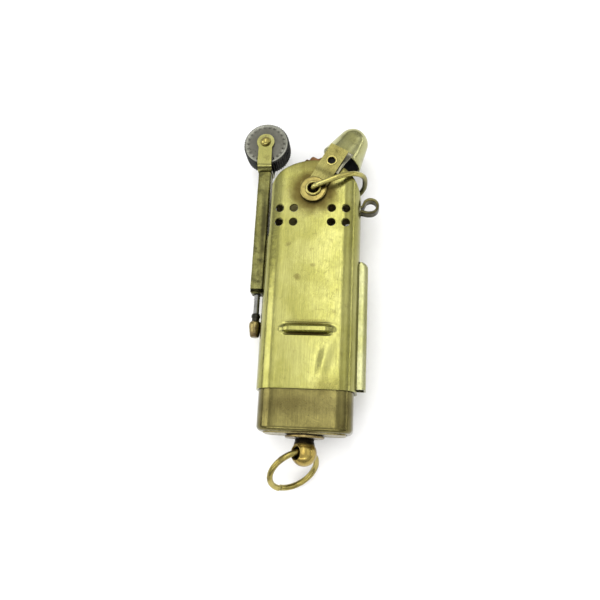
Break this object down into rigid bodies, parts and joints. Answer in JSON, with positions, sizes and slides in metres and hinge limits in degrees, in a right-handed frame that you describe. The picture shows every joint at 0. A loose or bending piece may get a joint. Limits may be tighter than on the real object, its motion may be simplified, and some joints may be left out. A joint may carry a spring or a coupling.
{
  "type": "pocket lighter",
  "caption": "Flat brass windproof lighter: sliding fuel tank in a perforated sleeve, side flint tube with striker wheel, swinging snuffer cap, wire bail and swivel ring.",
  "frame": {"origin": "middle of the whole lighter's footprint as it lies on its back, at its lowest point", "axes": "+X across the sleeve towards the chain eye, +Y along it towards the flame, +Z out of the front face"},
  "size_m": [0.0304, 0.0794, 0.0159],
  "materials": {
    "sleeve_brass": "satin, lightly tarnished",
    "spring_steel": "bright drawn",
    "eye_brass": "dark patina",
    "eyelet_brass": "bright, polished by wear",
    "tube_brass": "satin with a dark patina stripe",
    "fork_brass": "bright satin",
    "flint_alloy": "dull",
    "wheel_steel": "dark grey with light rims",
    "rod_steel": "drawn, worn",
    "collar_steel": "blackened",
    "knob_brass": "aged brown",
    "snuffer_brass": "matte, speckled",
    "cap_brass": "satin, scratched, sooty inside",
    "bail_brass": "bright where rubbed",
    "tank_brass": "antique, pitted, bright at the rim",
    "burner_brass": "heat brown",
    "wick_cotton": "charred cotton",
    "packing_cotton": "cotton wadding",
    "gasket_leather": "oiled",
    "filler_brass": "antique",
    "head_brass": "antique with dark hollows",
    "ring_brass": "antique"
  },
  "bodies": {
    "case": {"case_sleeve": "sleeve_brass", "side_rail": "sleeve_brass", "retaining_spring": "spring_steel", "chain_eye": "eye_brass", "front_eyelet": "eyelet_brass", "back_eyelet": "eyelet_brass", "front_washer": "eyelet_brass", "back_washer": "eyelet_brass", "flint_tube": "tube_brass", "tube_end_cap": "tube_brass", "wheel_fork": "fork_brass", "wheel_axle": "fork_brass", "flint": "flint_alloy", "flint_spring": "spring_steel"},
    "wheel": {"striker_wheel": "wheel_steel"},
    "plunger": {"plunger_rod": "rod_steel", "plunger_collar": "collar_steel", "plunger_knob": "knob_brass"},
    "snuffer": {"snuffer_leg_front": "snuffer_brass", "snuffer_leg_back": "snuffer_brass", "snuffer_cap": "cap_brass", "snuffer_rivets": "eyelet_brass"},
    "bail": {"bail_wire": "bail_brass"},
    "tank": {"tank_shell": "tank_brass", "tank_bottom": "tank_brass", "tank_top": "tank_brass", "filler_bush": "tank_brass", "burner_tube": "burner_brass", "wick": "wick_cotton", "cotton_packing": "packing_cotton"},
    "gasket": {"filler_gasket": "gasket_leather"},
    "filler": {"filler_screw": "filler_brass"},
    "swivel": {"swivel_head": "head_brass"},
    "ring": {"split_ring": "ring_brass"}
  },
  "joints": [
    {"name": "wheel_spin", "type": "hinge", "parent": "case", "child": "wheel", "pos_m": [-0.01007, 0.03455, 0.00795], "axis": [0, 0, 1], "continuous": true},
    {"name": "plunger_slide", "type": "slide", "parent": "case", "child": "plunger", "axis": [0, -1, 0], "range_m": [0, 0.009], "stiffness_N_per_m": 150, "springref_m": -0.006, "deforming": ["flint_spring"]},
    {"name": "snuffer_swing", "type": "hinge", "parent": "case", "child": "snuffer", "pos_m": [0.00135, 0.02153, 0.00795], "axis": [0, 0, 1], "range_deg": [-8, 29]},
    {"name": "bail_swing", "type": "hinge", "parent": "case", "child": "bail", "pos_m": [0.00135, 0.02153, 0.00795], "axis": [0, 0, 1], "range_deg": [-14, 3]},
    {"name": "tank_slide", "type": "slide", "parent": "case", "child": "tank", "axis": [0, -1, 0], "range_m": [0, 0.055]},
    {"name": "filler_out", "type": "slide", "parent": "tank", "child": "gasket", "axis": [0, -1, 0], "range_m": [0, 0.0034]},
    {"name": "filler_turn", "type": "hinge", "parent": "gasket", "child": "filler", "pos_m": [0.00135, -0.03235, 0.00795], "axis": [0, -1, 0], "range_deg": [0, 1640]},
    {"name": "swivel_turn", "type": "hinge", "parent": "filler", "child": "swivel", "pos_m": [0.00135, -0.03235, 0.00795], "axis": [0, -1, 0], "continuous": true},
    {"name": "ring_swing", "type": "hinge", "parent": "swivel", "child": "ring", "pos_m": [0.00135, -0.03235, 0.00795], "axis": [0.7314, 0, -0.682], "range_deg": [-135, 45]}
  ],
  "couplings": [
    {"joint": "filler_turn", "follows": "filler_out", "rad_per_m": 8377.6}
  ]
}
